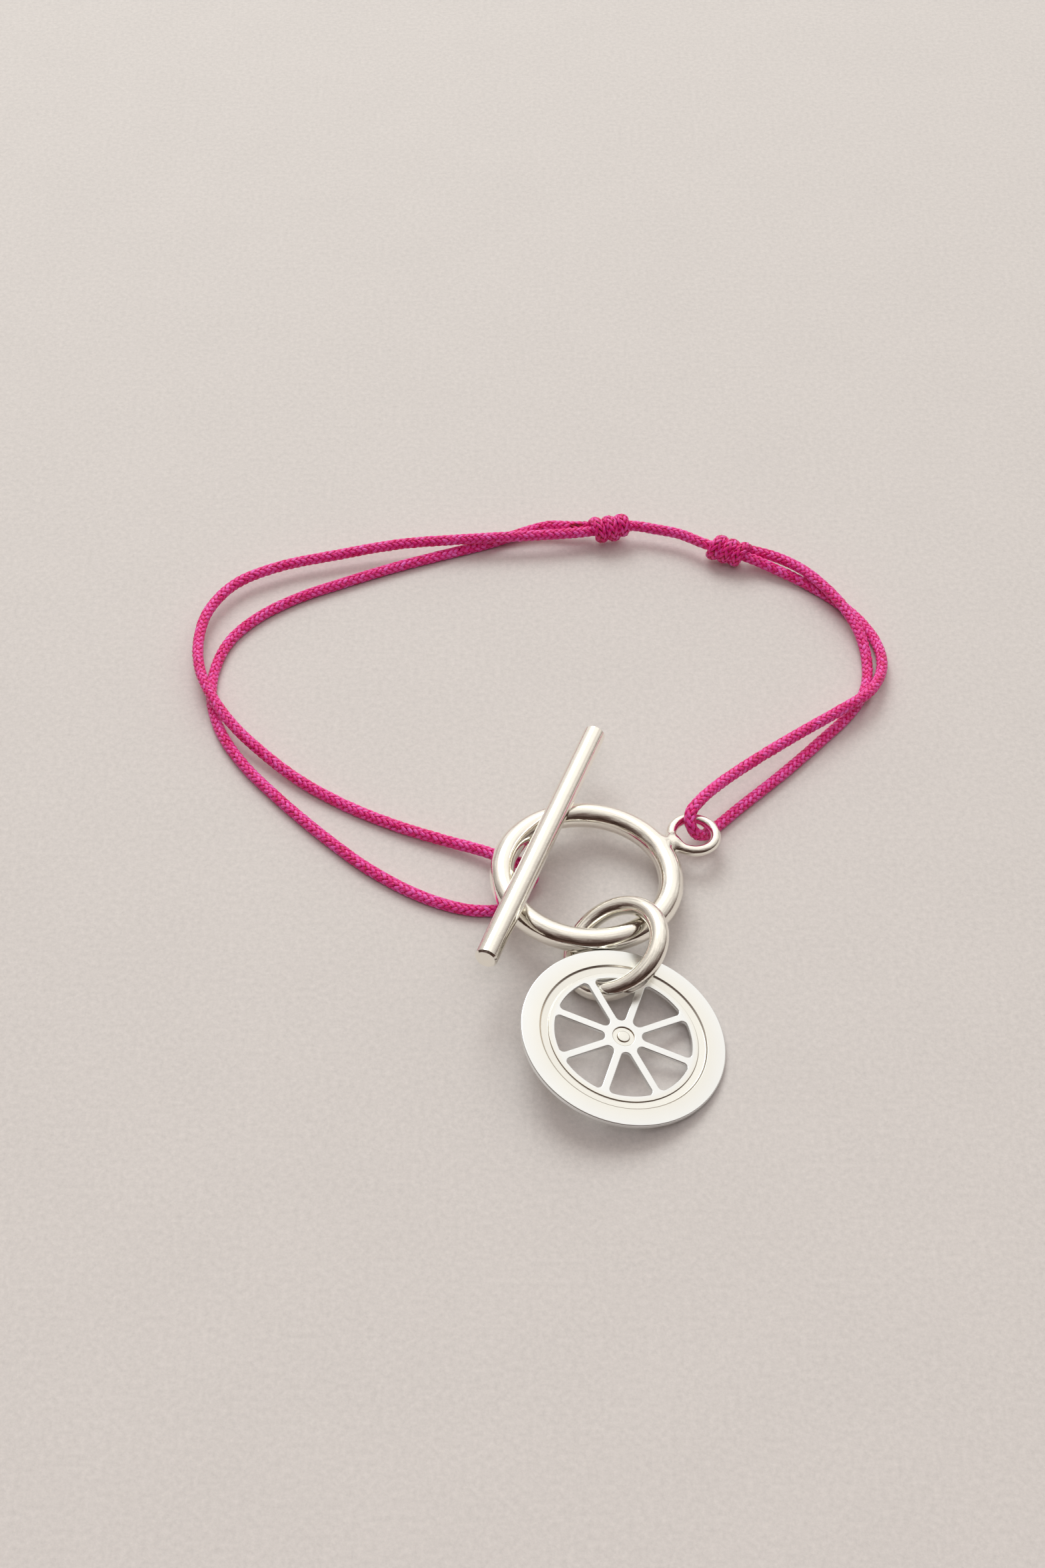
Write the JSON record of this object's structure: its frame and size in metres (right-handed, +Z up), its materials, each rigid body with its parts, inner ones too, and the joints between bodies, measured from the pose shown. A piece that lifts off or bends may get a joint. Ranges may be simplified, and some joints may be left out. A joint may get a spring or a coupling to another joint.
{
  "type": "cord bracelet",
  "caption": "Braided cord bracelet with sliding knots, a toggle ring and bar, and a spoked wheel pendant on a connecting ring, lying loose.",
  "frame": {"origin": "middle of the wrist opening, on the surface that the bracelet lies on", "axes": "+Z up from the surface; -Y from the wrist opening towards the clasp and the pendant; +X to the right, towards the strands that go to the toggle ring's eye"},
  "size_m": [0.0759, 0.0851, 0.0081],
  "materials": {
    "silver": "polished silver",
    "satin_silver": "white satin silver",
    "cord": "satin braided cord, fuchsia"
  },
  "bodies": {
    "root": {"toggle_ring": "silver", "toggle_bar": "silver", "link_ring": "silver", "wheel_pendant": "satin_silver", "cord": "cord", "knot_left": "cord", "knot_right": "cord"}
  },
  "joints": []
}
